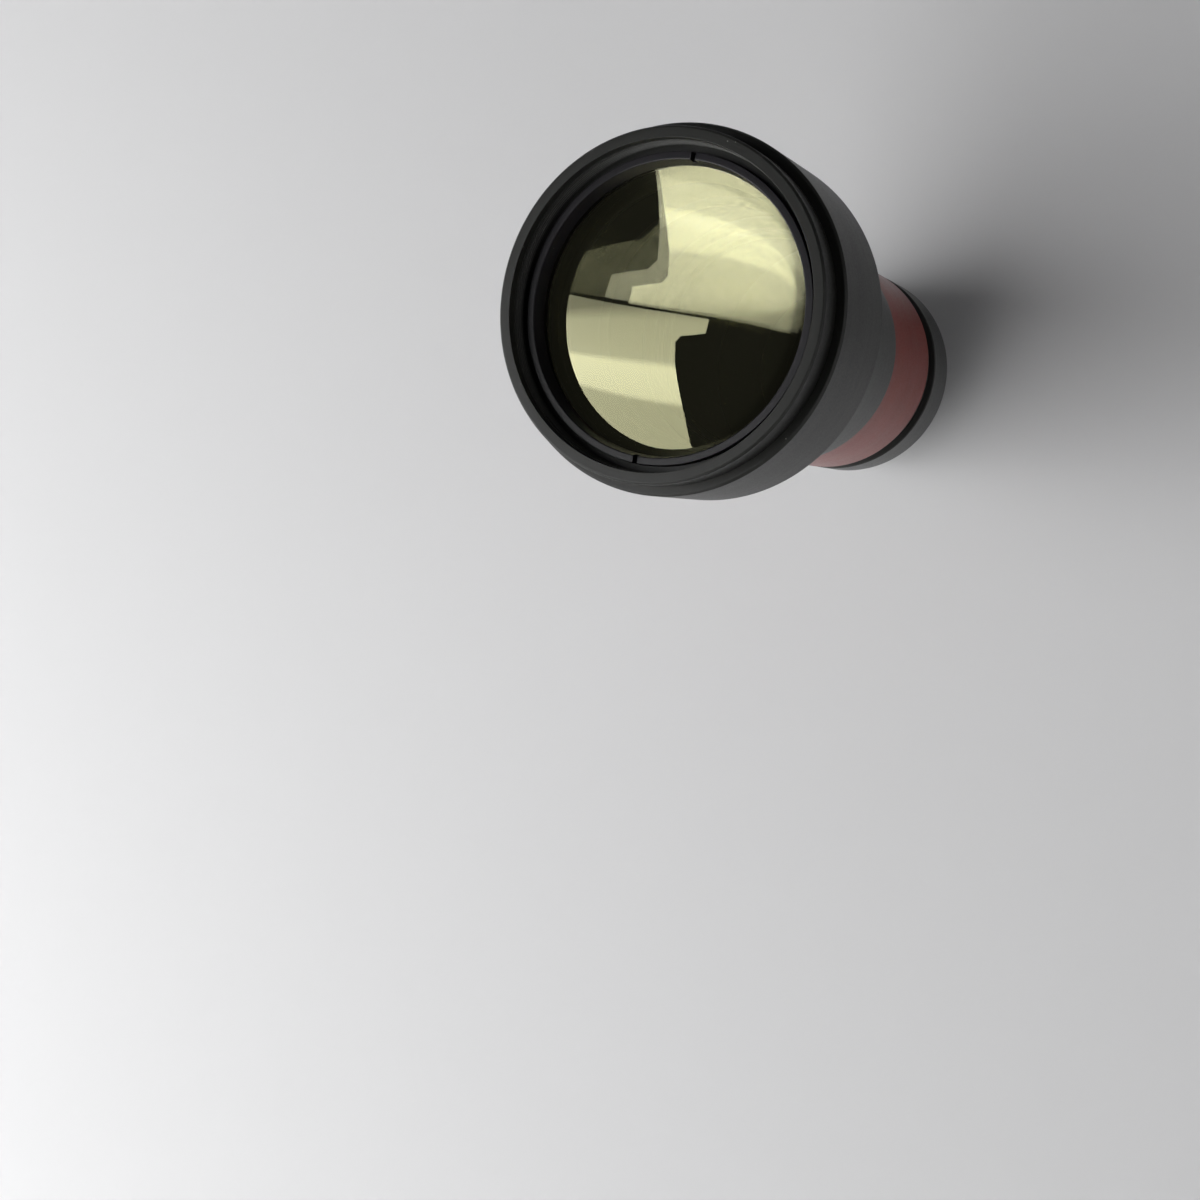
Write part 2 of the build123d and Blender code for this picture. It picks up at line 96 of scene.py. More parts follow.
# %% Camera
CAMERA_ASIDE, CAMERA_ABOVE = 114.487, 236.941
camera_data = bpy.data.cameras.new("camera")
camera_data.sensor_width = 36.0
camera_data.lens = 47.4
camera_data.clip_start = 0.01
camera_data.clip_end = 20.0
camera = bpy.data.objects.new("camera", camera_data)
bpy.context.scene.collection.objects.link(camera)
view_right = Vector((0.31868806, -0.83823959, -0.44248424))
view_up = Vector((0.92982745, 0.36709467, -0.02573737))
view_forward = Vector((-0.18400769, 0.4032318, -0.89640687))
camera_turn = Matrix((view_right, view_up, -view_forward)).transposed().to_4x4()
camera_place = Vector((0.0, -mm(CAMERA_ASIDE), mm(LENGTH + CAMERA_ABOVE)))
camera.matrix_world = Matrix.Translation(camera_place) @ camera_turn
bpy.context.scene.camera = camera
print("camera is", round((camera_place - Vector((0, 0, mm(LENGTH)))).length, 3), "m from the output face")

# %% [markdown]
# ## The lathe
# A turned piece starts as one point of its profile. The point is extruded from corner to corner
# until the profile closes, and Spin sweeps it round the axis. A turner breaks every sharp edge, so
# eased() first swaps each corner for a short curve. That small round edge is what catches the light.

# %% Profile and lathe helpers
DEFAULT_EASE = 0.12
LEAST_EASE = 0.005
SIDE_SHARE = 0.4  # an ease uses up no more than this share of the side next to it
CURVE_SHARES = (0.0, 0.33, 0.67, 1.0)
SAME_POINT, SAME_SEAM = 1e-7, 2e-6
DRILL_STEPS = 32


def eased(corners):
    """A profile with each corner swapped for a short curve. A corner may bring its own ease."""
    rounded = []
    for index, corner in enumerate(corners):
        here = Vector(corner[:2])
        before = Vector(corners[index - 1][:2]) - here
        after = Vector(corners[(index + 1) % len(corners)][:2]) - here
        size = corner[2] if len(corner) > 2 else DEFAULT_EASE
        reach = min(size, SIDE_SHARE * before.length, SIDE_SHARE * after.length)
        if reach < LEAST_EASE:
            rounded.append(here)
            continue
        first, last = here + before.normalized() * reach, here + after.normalized() * reach
        for share in CURVE_SHARES:
            rounded.append(
                first * (1 - share) ** 2 + here * 2 * share * (1 - share) + last * share**2
            )
    return [tuple(point) for point in rounded]


def select_only(piece):
    """Makes the piece the one selected object and the active one."""
    bpy.ops.object.select_all(action="DESELECT")
    piece.select_set(True)
    bpy.context.view_layer.objects.active = piece


def start_point(name, radius, height):
    """A new mesh object that holds one vertex, left in edit mode."""
    bpy.ops.object.select_all(action="DESELECT")
    bpy.ops.mesh.primitive_plane_add(size=mm(1))
    piece = bpy.context.active_object
    piece.name = piece.data.name = name
    bpy.ops.object.mode_set(mode="EDIT")
    bpy.ops.mesh.select_all(action="SELECT")
    bpy.ops.mesh.merge(type="CENTER")
    bpy.ops.transform.translate(value=(mm(radius), 0, mm(height)))
    return piece


def draw_profile(corners):
    """Extrudes the selected vertex through the corners that follow the first one."""
    for (r0, d0), (r1, d1) in zip(corners[:-1], corners[1:]):
        step = (mm(r1 - r0), 0, mm(d0 - d1))
        bpy.ops.mesh.extrude_vertices_move(TRANSFORM_OT_translate={"value": step})


def weld(distance):
    """Selects the whole mesh and merges points that are closer than the distance."""
    bpy.ops.mesh.select_all(action="SELECT")
    bpy.ops.mesh.remove_doubles(threshold=distance)


def finish_mesh():
    """Turns the selected faces outward and leaves edit mode."""
    bpy.ops.mesh.normals_make_consistent(inside=False)
    bpy.ops.object.mode_set(mode="OBJECT")


def smooth_by_angle(piece, angle):
    """Smooth shading that keeps edges sharper than the angle."""
    select_only(piece)
    bpy.ops.object.shade_smooth_by_angle(angle=math.radians(angle))


def smooth_shading(piece, angle):
    """The same with normals weighted by area, for flat faces that stay flat beside an eased edge."""
    smooth_by_angle(piece, angle)
    piece.modifiers.new("weighted", "WEIGHTED_NORMAL").keep_sharp = True
    bpy.ops.object.modifier_apply(modifier="weighted")


def lathe(name, corners, closed=True):
    """A turned piece from its (radius, depth) corners. An open profile begins and ends on the axis."""
    piece = start_point(name, corners[0][0], level(corners[0][1]))
    draw_profile(corners + corners[:1] if closed else corners)
    weld(SAME_POINT)
    bpy.ops.mesh.spin(steps=ROUND_STEPS, angle=2 * math.pi, center=(0, 0, 0), axis=(0, 0, 1))
    weld(SAME_SEAM)
    finish_mesh()
    print(name, "has", len(piece.data.polygons), "faces")
    return piece


def cut_away(piece, tool):
    """Takes the tool's shape out of the piece and throws the tool away."""
    cut = piece.modifiers.new("cut", "BOOLEAN")
    cut.operation, cut.object, cut.solver = "DIFFERENCE", tool, "EXACT"
    select_only(piece)
    bpy.ops.object.modifier_apply(modifier="cut")
    bpy.data.objects.remove(tool)


def radial_drill(radius, inner, outer, angle, depth):
    """A round bar on a radial line, used to drill a screw hole."""
    turn_about = math.radians(angle)
    middle = mm((inner + outer) / 2)
    bpy.ops.mesh.primitive_cylinder_add(
        vertices=DRILL_STEPS,
        radius=mm(radius),
        depth=mm(outer - inner),
        location=(middle * math.cos(turn_about), middle * math.sin(turn_about), mm(level(depth))),
        rotation=(0, math.pi / 2, turn_about),
    )
    return bpy.context.active_object


def merged_into(piece, extra):
    """Joins the extra object into the piece."""
    select_only(piece)
    extra.select_set(True)
    bpy.ops.object.join()


# %% [markdown]
# ## The output cell and its filter thread
# The cell holds the lenses. Its mouth is plain for a short way and then has a fine thread for a
# filter, which is a real helix here: a small triangle is swept by the Screw modifier and its two open
# ends are filled. The bore behind the ridge is turned to the thread's root.

# %% Output cell
LENS_RADIUS = 25.4
LENS_BORE = 25.45
CELL_FLANGE, CELL_FLANGE_END, CELL_CHAMFER = 29.25, 5.35, 0.35
MOUTH_RADIUS, MOUTH_DEPTH = 27.27, 1.75
THREAD_CREST, THREAD_ROOT, THREAD_PITCH = 27.12, 27.32, 0.6
THREAD_LAND, THREAD_FOOT = 0.1, 0.3
CHANNEL_FLOOR = 5.2
FILTER_THREAD_START, FILTER_THREAD_END = MOUTH_DEPTH + 0.2, CHANNEL_FLOOR - 0.1
RING_BORE, RING_BORE_END = 25.94, 7.09
CELL_TUBE, CELL_END = 28.25, 20.553
SHOULDER = 17.553
APERTURE, APERTURE_LAND, APERTURE_FLARE = 21.6, 1, 2.2
RIDGE_SINK = 0.12  # the ridge stands this deep in the wall that carries it
RIDGE_HALF = 0.42  # half the ridge's foot, as a share of the pitch


def helix_ridge(name, crest, root, pitch, start, end):
    """A triangular ridge that winds from one depth to another, closed at both ends."""
    base = root + math.copysign(RIDGE_SINK, root - crest)
    half = pitch * RIDGE_HALF
    piece = start_point(name, base, level(end) + half)
    draw_profile([(base, 0.0), (crest, half), (base, 2 * half), (base, 0.0)])
    weld(SAME_POINT)
    bpy.ops.object.mode_set(mode="OBJECT")
    turns = (end - start - 2 * half) / pitch
    screw = piece.modifiers.new("screw", "SCREW")
    screw.angle = 2 * math.pi * turns
    screw.screw_offset = mm(pitch * turns)
    screw.steps = screw.render_steps = int(ROUND_STEPS * turns)
    screw.use_merge_vertices = False
    select_only(piece)
    bpy.ops.object.modifier_apply(modifier="screw")
    bpy.ops.object.mode_set(mode="EDIT")
    bpy.ops.mesh.select_all(action="SELECT")
    bpy.ops.mesh.fill_holes(sides=4)
    bpy.ops.mesh.select_all(action="SELECT")
    finish_mesh()
    print(name, "winds", round(turns, 2), "turns")
    return piece


output_cell = lathe(
    "output_cell_turned",
    eased(
        [
            (MOUTH_RADIUS, 0, 0.06),
            (CELL_FLANGE - CELL_CHAMFER, 0, 0.1),
            (CELL_FLANGE, CELL_CHAMFER, 0.1),
            (CELL_FLANGE, CELL_FLANGE_END, 0.15),
            (CELL_TUBE, CELL_FLANGE_END),
            (CELL_TUBE, CELL_END),
            (APERTURE + APERTURE_FLARE, CELL_END),
            (APERTURE, SHOULDER + APERTURE_LAND),
            (APERTURE, SHOULDER),
            (LENS_BORE, SHOULDER),
            (LENS_BORE, RING_BORE_END),
            (RING_BORE, RING_BORE_END, 0.05),
            (RING_BORE, CHANNEL_FLOOR),
            (THREAD_ROOT, CHANNEL_FLOOR, 0.05),
            (THREAD_ROOT, MOUTH_DEPTH + THREAD_FOOT, 0.05),
            (THREAD_CREST, MOUTH_DEPTH + THREAD_LAND, 0.03),
            (THREAD_CREST, MOUTH_DEPTH, 0.03),
            (MOUTH_RADIUS, MOUTH_DEPTH, 0.05),
        ]
    ),
)
filter_thread = helix_ridge(
    "filter_thread", THREAD_CREST, THREAD_ROOT, THREAD_PITCH, FILTER_THREAD_START, FILTER_THREAD_END
)
merged_into(output_cell, filter_thread)
smooth_shading(output_cell, 35)

# %% [markdown]
# ## The retaining ring
# A threaded ring holds the front lens. Its inner wall leans outward a little, and two narrow slots
# in its face take a spanner. The slots are cut with one bar laid across the ring.

# %% Output retaining ring
RING_FACE, RING_END = 3.84, 7.04
RING_OUTER, RING_INNER, RING_INNER_END = 25.89, 24.59, 24.2
SLOT_WIDTH, SLOT_DEPTH, SLOT_ANGLE, SLOT_BAR_LENGTH = 0.9, 1.5, 8.8, 60
retaining_ring = lathe(
    "output_retaining_ring_turned",
    eased(
        [
            (RING_INNER, RING_FACE, 0.2),
            (RING_OUTER, RING_FACE, 0.12),
            (RING_OUTER, RING_END, 0.2),
            (RING_INNER_END, RING_END, 0.1),
        ]
    ),
)
bpy.ops.mesh.primitive_cube_add(size=1, location=(0, 0, mm(level(RING_FACE))))
slot_bar = bpy.context.active_object
slot_bar.scale = (mm(SLOT_BAR_LENGTH), mm(SLOT_WIDTH), mm(2 * SLOT_DEPTH))
slot_bar.rotation_euler = (0, 0, math.radians(SLOT_ANGLE))
cut_away(retaining_ring, slot_bar)
smooth_shading(retaining_ring, 35)
print("spanner slots are", SLOT_WIDTH, "mm wide")

# %% [markdown]
# ## The lenses
# A lens is two spherical curves and a ground edge. Its profile begins on the axis, runs out along the
# front curve and comes back along the rear one. A positive curve falls away from the output face
# towards the edge and a negative one rises. A narrow bevel is ground where each curve meets the edge.

# %% Lenses
INPUT_LENS_RADIUS = 6.35
BEVEL_SHARE = 0.006


def fall(radius, curve):
    """How far a sphere of this curve falls away at a radius. A negative curve rises instead."""
    return math.copysign(abs(curve) - math.sqrt(curve**2 - radius**2), curve)


def lens(name, edge, front_curve, back_curve, vertex, thickness, rings=28):
    """A lens from its edge radius, two signed curves, front vertex depth and centre thickness."""
    radii = [edge * index / rings for index in range(rings + 1)]
    front = [(r, vertex + fall(r, front_curve)) for r in radii]
    back = [(r, vertex + thickness + fall(r, back_curve)) for r in reversed(radii)]
    bevel = BEVEL_SHARE * edge
    front[-1] = (edge - bevel, vertex + fall(edge - bevel, front_curve))
    back[0] = (edge - bevel, vertex + thickness + fall(edge - bevel, back_curve))
    ground_edge = [(edge, front[-1][1] + bevel), (edge, back[0][1] - bevel)]
    piece = lathe(name, front + ground_edge + back, closed=False)
    smooth_by_angle(piece, 30)
    return piece


front_lens = lens(
    "output_lens_front_ground", LENS_RADIUS, front_curve=80, back_curve=-320, vertex=3.322, thickness=7.659
)
rear_lens = lens(
    "output_lens_rear_ground", LENS_RADIUS, front_curve=-140, back_curve=-530, vertex=13.448, thickness=4.5
)
input_lens = lens(
    "input_lens_ground", INPUT_LENS_RADIUS, front_curve=-10.4, back_curve=10.4, vertex=98.063, thickness=2.0, rings=14
)

# %% [markdown]
# ## The output housing
# The wide rim, the cone and the neck are one turned body. Three screws hold it on the barrel, so three
# holes are drilled through the neck from outside.

# %% Output housing
RIM_RADIUS, RIM_CHAMFER, RIM_END = 31.0, 0.4, 25.6
CELL_POCKET, CELL_POCKET_END = 28.3, 20.853
CONE_TOP_RADIUS, CONE_END = 29.4, 34.0
NECK_RADIUS, NECK_END = 22.9, 40.0
FUNNEL_RADIUS, FUNNEL_END = 25.0, 30.0
NECK_BORE = 20.55
HOUSING_SCREW_HOLE, HOUSING_SCREW_DEPTH = 1.28, 37.0
HOUSING_SCREW_ANGLES = (90, 210, 330)
housing = lathe(
    "output_housing_turned",
    eased(
        [
            (CELL_POCKET, CELL_FLANGE_END, 0.08),
            (RIM_RADIUS - RIM_CHAMFER, CELL_FLANGE_END, 0.1),
            (RIM_RADIUS, CELL_FLANGE_END + RIM_CHAMFER, 0.1),
            (RIM_RADIUS, RIM_END - RIM_CHAMFER, 0.1),
            (RIM_RADIUS - RIM_CHAMFER, RIM_END, 0.1),
            (CONE_TOP_RADIUS, RIM_END),
            (NECK_RADIUS, CONE_END, 0.6),
            (NECK_RADIUS, NECK_END - RIM_CHAMFER, 0.1),
            (NECK_RADIUS - RIM_CHAMFER, NECK_END, 0.1),
            (NECK_BORE, NECK_END),
            (NECK_BORE, FUNNEL_END),
            (FUNNEL_RADIUS, CELL_POCKET_END),
            (CELL_POCKET, CELL_POCKET_END),
        ]
    ),
)
for angle in HOUSING_SCREW_ANGLES:
    cut_away(housing, radial_drill(HOUSING_SCREW_HOLE, 20.45, 24.0, angle, HOUSING_SCREW_DEPTH))
smooth_shading(housing, 35)

# %% [markdown]
# ## The red sleeve
# The sleeve is a thin tube bonded on the barrel, with its two outer edges broken. Paint rounds an edge,
# so those edges are eased more than the sleeve's own bare bore.

# %% Red sleeve
SLEEVE_START, SLEEVE_END = 65.8, 91.5
SLEEVE_RADIUS, SLEEVE_BORE, SLEEVE_CHAMFER = 21.75, 20.85, 0.2
red_sleeve = lathe(
    "red_sleeve_turned",
    eased(
        [
            (SLEEVE_BORE, SLEEVE_START, 0.05),
            (SLEEVE_RADIUS - SLEEVE_CHAMFER, SLEEVE_START, 0.15),
            (SLEEVE_RADIUS, SLEEVE_START + SLEEVE_CHAMFER, 0.15),
            (SLEEVE_RADIUS, SLEEVE_END - SLEEVE_CHAMFER, 0.15),
            (SLEEVE_RADIUS - SLEEVE_CHAMFER, SLEEVE_END, 0.15),
            (SLEEVE_BORE, SLEEVE_END, 0.05),
        ]
    ),
)
smooth_shading(red_sleeve, 50)

# %% [markdown]
# ## The input mount and its outer thread
# The stub carries a thread of one millimetre pitch. It is made like the filter thread, but the ridge
# points outward. A short relief next to the flange lets the thread run out.

# %% Input mount
MOUNT_START, MOUNT_RADIUS = 109.04, 20.0
MOUNT_FLANGE_END, MOUNT_CHAMFER = 113.54, 0.4
MOUNT_BORE, MOUNT_BORE_END = 17.05, 112.54
RELIEF_RADIUS, RELIEF_END = 14.2, 114.54
STUB_CREST, STUB_ROOT, STUB_PITCH = 15.0, 14.4, 1.0
STUB_END, STUB_CHAMFER = 120.54, 0.1
STUB_THREAD_START, STUB_THREAD_END = 114.6, 120.1
INPUT_BORE, INPUT_CHAMFER = 9.5, 0.8
MOUNT_SCREW_HOLE, MOUNT_SCREW_DEPTH = 1.03, 110.74
MOUNT_SCREW_ANGLES = (30, 150, 270)
input_mount = lathe(
    "input_mount_turned",
    eased(
        [
            (MOUNT_BORE, MOUNT_START, 0.1),
            (MOUNT_RADIUS, MOUNT_START, 0.15),
            (MOUNT_RADIUS, MOUNT_FLANGE_END - MOUNT_CHAMFER, 0.1),
            (MOUNT_RADIUS - MOUNT_CHAMFER, MOUNT_FLANGE_END, 0.1),
            (RELIEF_RADIUS, MOUNT_FLANGE_END, 0.15),
            (RELIEF_RADIUS, RELIEF_END, 0.1),
            (STUB_ROOT, RELIEF_END + STUB_CHAMFER, 0.05),
            (STUB_ROOT, STUB_END - STUB_CHAMFER, 0.05),
            (STUB_ROOT - STUB_CHAMFER, STUB_END, 0.08),
            (INPUT_BORE + INPUT_CHAMFER, STUB_END, 0.1),
            (INPUT_BORE, STUB_END - INPUT_CHAMFER, 0.1),
            (INPUT_BORE, MOUNT_BORE_END, 0.1),
            (MOUNT_BORE, MOUNT_BORE_END, 0.1),
        ]
    ),
)
for angle in MOUNT_SCREW_ANGLES:
    cut_away(input_mount, radial_drill(MOUNT_SCREW_HOLE, 16.95, 21.0, angle, MOUNT_SCREW_DEPTH))
stub_thread = helix_ridge("stub_thread", STUB_CREST, STUB_ROOT, STUB_PITCH, STUB_THREAD_START, STUB_THREAD_END)
merged_into(input_mount, stub_thread)
smooth_shading(input_mount, 35)

# %% [markdown]
# ## Riding on the bodies
# Each new piece replaces one CAD node and rides on the body that carries that node. The other nodes
# are shown as they are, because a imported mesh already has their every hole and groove.

# %% Bodies
NEW_PIECES = {
    "output_cell": output_cell,
    "output_retaining_ring": retaining_ring,
    "output_lens_front": front_lens,
    "output_lens_rear": rear_lens,
    "output_housing": housing,
    "red_sleeve": red_sleeve,
    "input_mount": input_mount,
    "input_lens": input_lens,
}
BODIES = frame["record"]["behaviour"]["bodies"]
body_of_node = {node: body for body, nodes in BODIES.items() for node in nodes}
for node, piece in NEW_PIECES.items():
    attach(piece, body_of_node[node])
    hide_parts(node)
print("new pieces:", len(NEW_PIECES), "of", len(body_of_node), "nodes")

# %% [markdown]
# ## Effects that several materials share
# Each effect is a node group with named sockets. They all read Object coordinates, which are metres
# here because every piece sits unscaled at the origin. Turning marks follow the radius and the
# height, so they run round the axis on any face that a lathe has cut.

# %% Node groups
FLOAT = "NodeSocketFloat"
MARK_SCALE, BROAD_MARKS = 9000.0, 0.06
WEAR_WIDTH, WEAR_GAIN, WEAR_FLOOR = 0.00012, 7.0, 0.35
SPECK_THRESHOLD, SPECK_SIZE = 0.8, 0.11


def effect(name, inputs, outputs):
    """A node group with Float sockets, from the inputs' defaults and the outputs' names."""
    group = bpy.data.node_groups.new(name, "ShaderNodeTree")
    for label, value in inputs.items():
        group.interface.new_socket(label, in_out="INPUT", socket_type=FLOAT).default_value = value
    for label in outputs:
        group.interface.new_socket(label, in_out="OUTPUT", socket_type=FLOAT)
    given, result = group.nodes.new("NodeGroupInput"), group.nodes.new("NodeGroupOutput")
    return group, given.outputs, result.inputs


def calculate(tree, operation, *values, clamp=False):
    """A Math node. A number is set on its socket and an output is linked to it."""
    node = tree.nodes.new("ShaderNodeMath")
    node.operation, node.use_clamp = operation, clamp
    for socket, value in zip(node.inputs, values):
        if isinstance(value, (int, float)):
            socket.default_value = value
        else:
            tree.links.new(value, socket)
    return node.outputs[0]


def object_place(tree):
    """Object coordinates."""
    return tree.nodes.new("ShaderNodeTexCoord").outputs["Object"]


def parts_of(tree, vector):
    """A vector's X, Y and Z."""
    parts = tree.nodes.new("ShaderNodeSeparateXYZ")
    tree.links.new(vector, parts.inputs[0])
    return parts.outputs


def noise_of(tree, vector, scale, detail=2.0, roughness=0.5):
    """A Noise Texture's value at a vector."""
    noise = tree.nodes.new("ShaderNodeTexNoise")
    noise.inputs["Scale"].default_value = scale
    noise.inputs["Detail"].default_value = detail
    noise.inputs["Roughness"].default_value = roughness
    tree.links.new(vector, noise.inputs["Vector"])
    return noise.outputs["Fac"]


def make_turning_marks():
    """Fine rings left by the tool, as a height and as a faint change of tone."""
    group, given, result = effect("turning_marks", {"Scale": MARK_SCALE}, ("Height", "Tone"))
    x, y, z = parts_of(group, object_place(group))
    x_squared, y_squared = calculate(group, "MULTIPLY", x, x), calculate(group, "MULTIPLY", y, y)
    radius = calculate(group, "SQRT", calculate(group, "ADD", x_squared, y_squared))
    rings = group.nodes.new("ShaderNodeCombineXYZ")
    group.links.new(calculate(group, "MULTIPLY", radius, given["Scale"]), rings.inputs[0])
    group.links.new(calculate(group, "MULTIPLY", z, given["Scale"]), rings.inputs[1])
    fine = noise_of(group, rings.outputs[0], 1.0, 3.0, 0.65)
    broad = noise_of(group, rings.outputs[0], BROAD_MARKS, 2.0)
    group.links.new(fine, result["Height"])
    fine_half, broad_half = calculate(group, "MULTIPLY", fine, 0.5), calculate(group, "MULTIPLY", broad, 0.5)
    group.links.new(calculate(group, "ADD", fine_half, broad_half), result["Tone"])
    return group


def make_edge_wear():
    """A mask that is bright where a rounded normal leaves the true one, so on sharp edges."""
    group, given, result = effect("edge_wear", {"Width": WEAR_WIDTH, "Amount": 1.0}, ("Mask",))
    bevel = group.nodes.new("ShaderNodeBevel")
    bevel.samples = 4
    group.links.new(given["Width"], bevel.inputs["Radius"])
    true_normal = group.nodes.new("ShaderNodeNewGeometry")
    turned_by = group.nodes.new("ShaderNodeVectorMath")
    turned_by.operation = "DOT_PRODUCT"
    group.links.new(bevel.outputs[0], turned_by.inputs[0])
    group.links.new(true_normal.outputs["Normal"], turned_by.inputs[1])
    leaning = calculate(group, "SUBTRACT", 1.0, turned_by.outputs["Value"])
    broken = calculate(group, "ADD", noise_of(group, object_place(group), 900.0, 4.0, 0.7), WEAR_FLOOR)
    worn = calculate(group, "MULTIPLY", calculate(group, "MULTIPLY", leaning, WEAR_GAIN), broken)
    mask = calculate(group, "MULTIPLY", worn, given["Amount"], clamp=True)
    group.links.new(mask, result["Mask"])
    return group


def make_dust():
    """Sparse pale specks of a few hundredths of a millimetre to a tenth."""
    group, given, result = effect("dust_specks", {"Scale": 700.0, "Amount": 1.0}, ("Mask",))
    place = object_place(group)
    cells = group.nodes.new("ShaderNodeTexVoronoi")
    group.links.new(place, cells.inputs["Vector"])
    group.links.new(given["Scale"], cells.inputs["Scale"])
    kept = calculate(group, "GREATER_THAN", cells.outputs["Color"], SPECK_THRESHOLD)
    size = calculate(group, "MULTIPLY", noise_of(group, place, 300.0), SPECK_SIZE)
    inside = calculate(group, "LESS_THAN", cells.outputs["Distance"], size)
    speck = calculate(group, "MULTIPLY", inside, kept)
    group.links.new(calculate(group, "MULTIPLY", speck, given["Amount"]), result["Mask"])
    return group


def make_tone_drift():
    """Slow, cloudy changes and fine grain, for a tone that is never quite even."""
    group, given, result = effect("tone_drift", {"Cloud": 45.0, "Grain": 2600.0}, ("Cloud", "Grain"))
    place = object_place(group)
    for label, detail in (("Cloud", 4.0), ("Grain", 2.0)):
        noise = noise_of(group, place, 1.0, detail, 0.6)
        group.links.new(given[label], noise.node.inputs["Scale"])
        group.links.new(noise, result[label])
    return group


EFFECTS = {
    "turning_marks": make_turning_marks(),
    "edge_wear": make_edge_wear(),
    "dust_specks": make_dust(),
    "tone_drift": make_tone_drift(),
}
print("effects:", ", ".join(EFFECTS))

# %% [markdown]
# ## Materials
# Every finish begins with the same chain: a tone that drifts, paler worn edges, dust on top, and
# turning marks in the bump and in the roughness. What differs is the colours and how strong each
# effect is, so one function builds the chain and each material adds its own settings.

# %% Material helpers
DUST_COLOUR = (0.55, 0.54, 0.5)
MARK_HEIGHT = 0.00004


def use(tree, name, **settings):
    """Puts an effect in a material and sets its inputs."""
    node = tree.nodes.new("ShaderNodeGroup")
    node.node_tree = EFFECTS[name]
    for label, value in settings.items():
        node.inputs[label].default_value = value
    return node.outputs


def between(tree, share, dark, light):
    """A colour mix. dark and light are colours or outputs."""
    mix = tree.nodes.new("ShaderNodeMix")
    mix.data_type = "RGBA"
    tree.links.new(share, mix.inputs["Factor"])
    for socket, value in ((mix.inputs["A"], dark), (mix.inputs["B"], light)):
        if isinstance(value, tuple):
            socket.default_value = (*value, 1.0)
        else:
            tree.links.new(value, socket)
    return mix.outputs["Result"]


def spread(tree, source, low, high, start=0.3, end=0.7):
    """Maps a value from one range to another. Noise lies mostly between the two defaults."""
    node = tree.nodes.new("ShaderNodeMapRange")
    for label, value in (("From Min", start), ("From Max", end), ("To Min", low), ("To Max", high)):
        node.inputs[label].default_value = value
    tree.links.new(source, node.inputs["Value"])
    return node.outputs[0]


def new_material(name):
    """A material with its node tree and its Principled BSDF."""
    material = bpy.data.materials.new(name)
    material.use_nodes = True
    tree = material.node_tree
    return material, tree, tree.nodes["Principled BSDF"]


def machined(name, dark, light, worn, roughness, marks=0.06, wear=0.6, dust=0.35, **shader_settings):
    """A turned and finished surface, with any further settings of its Principled BSDF."""
    material, tree, shader = new_material(name)
    drift = use(tree, "tone_drift")
    rings = use(tree, "turning_marks", Scale=MARK_SCALE)
    edge = use(tree, "edge_wear", Amount=wear)
    speck = use(tree, "dust_specks", Amount=dust)
    tone = between(tree, spread(tree, drift["Cloud"], 0.0, 1.0), dark, light)
    ringed = between(tree, spread(tree, rings["Tone"], 0.0, 0.35), tone, light)
    edged = between(tree, edge["Mask"], ringed, worn)
    dusted = between(tree, speck["Mask"], edged, DUST_COLOUR)
    tree.links.new(dusted, shader.inputs["Base Color"])
    grain = spread(tree, drift["Grain"], roughness - 0.04, roughness + 0.04)
    rough = calculate(tree, "ADD", grain, spread(tree, rings["Tone"], -0.03, 0.03))
    tree.links.new(rough, shader.inputs["Roughness"])
    bump = tree.nodes.new("ShaderNodeBump")
    bump.inputs["Strength"].default_value = marks
    bump.inputs["Distance"].default_value = MARK_HEIGHT
    tree.links.new(rings["Height"], bump.inputs["Height"])
    tree.links.new(bump.outputs["Normal"], shader.inputs["Normal"])
    for label, value in shader_settings.items():
        shader.inputs[label.replace("_", " ")].default_value = value
    return material


# %% Materials
black_anodised = machined(
    "black_anodised",
    dark=(0.011, 0.0115, 0.0100),
    light=(0.018, 0.0185, 0.0165),
    worn=(0.10, 0.10, 0.09),
    roughness=0.42,
    Specular_IOR_Level=0.3,
)
# A darker copy of black anodised for the pieces inside the bore: its darker colour is painted shade.
black_anodised_painted_shade = machined(
    "black_anodised_painted_shade",
    dark=(0.0050, 0.0045, 0.0060),
    light=(0.0095, 0.0085, 0.0115),
    worn=(0.07, 0.07, 0.075),
    roughness=0.34,
    dust=0.2,
    Specular_IOR_Level=0.3,
)
# A lighter copy of black anodised for the barrel and the divergence ring: its lighter colour is painted sheen, the
# grey that these black parts show in grazing light.
black_anodised_painted_sheen = machined(
    "black_anodised_painted_sheen",
    dark=(0.026, 0.027, 0.026),
    light=(0.038, 0.039, 0.037),
    worn=(0.16, 0.16, 0.15),
    roughness=0.38,
    Specular_IOR_Level=0.35,
)
red_lacquer = machined(
    "red_lacquer",
    dark=(0.155, 0.012, 0.005),
    light=(0.20, 0.018, 0.007),
    worn=(0.30, 0.04, 0.02),
    roughness=0.34,
    marks=0.02,
    wear=0.5,
    dust=0.2,
    Specular_IOR_Level=0.1,
    Coat_Weight=0.25,
    Coat_Roughness=0.03,
)
black_acetal = machined(
    "black_acetal",
    dark=(0.012, 0.012, 0.013),
    light=(0.020, 0.020, 0.021),
    worn=(0.05, 0.05, 0.05),
    roughness=0.5,
    marks=0.04,
    wear=0.3,
)
black_steel = machined(
    "black_steel",
    dark=(0.030, 0.030, 0.032),
    light=(0.055, 0.054, 0.054),
    worn=(0.35, 0.34, 0.32),
    roughness=0.32,
    wear=1.0,
    Metallic=0.6,
)
spring_steel = machined(
    "spring_steel",
    dark=(0.42, 0.41, 0.39),
    light=(0.55, 0.54, 0.52),
    worn=(0.7, 0.69, 0.66),
    roughness=0.28,
    dust=0.1,
    Metallic=1.0,
)
nylon = machined(
    "nylon",
    dark=(0.62, 0.60, 0.54),
    light=(0.72, 0.70, 0.64),
    worn=(0.78, 0.76, 0.7),
    roughness=0.55,
    marks=0.03,
    wear=0.2,
)
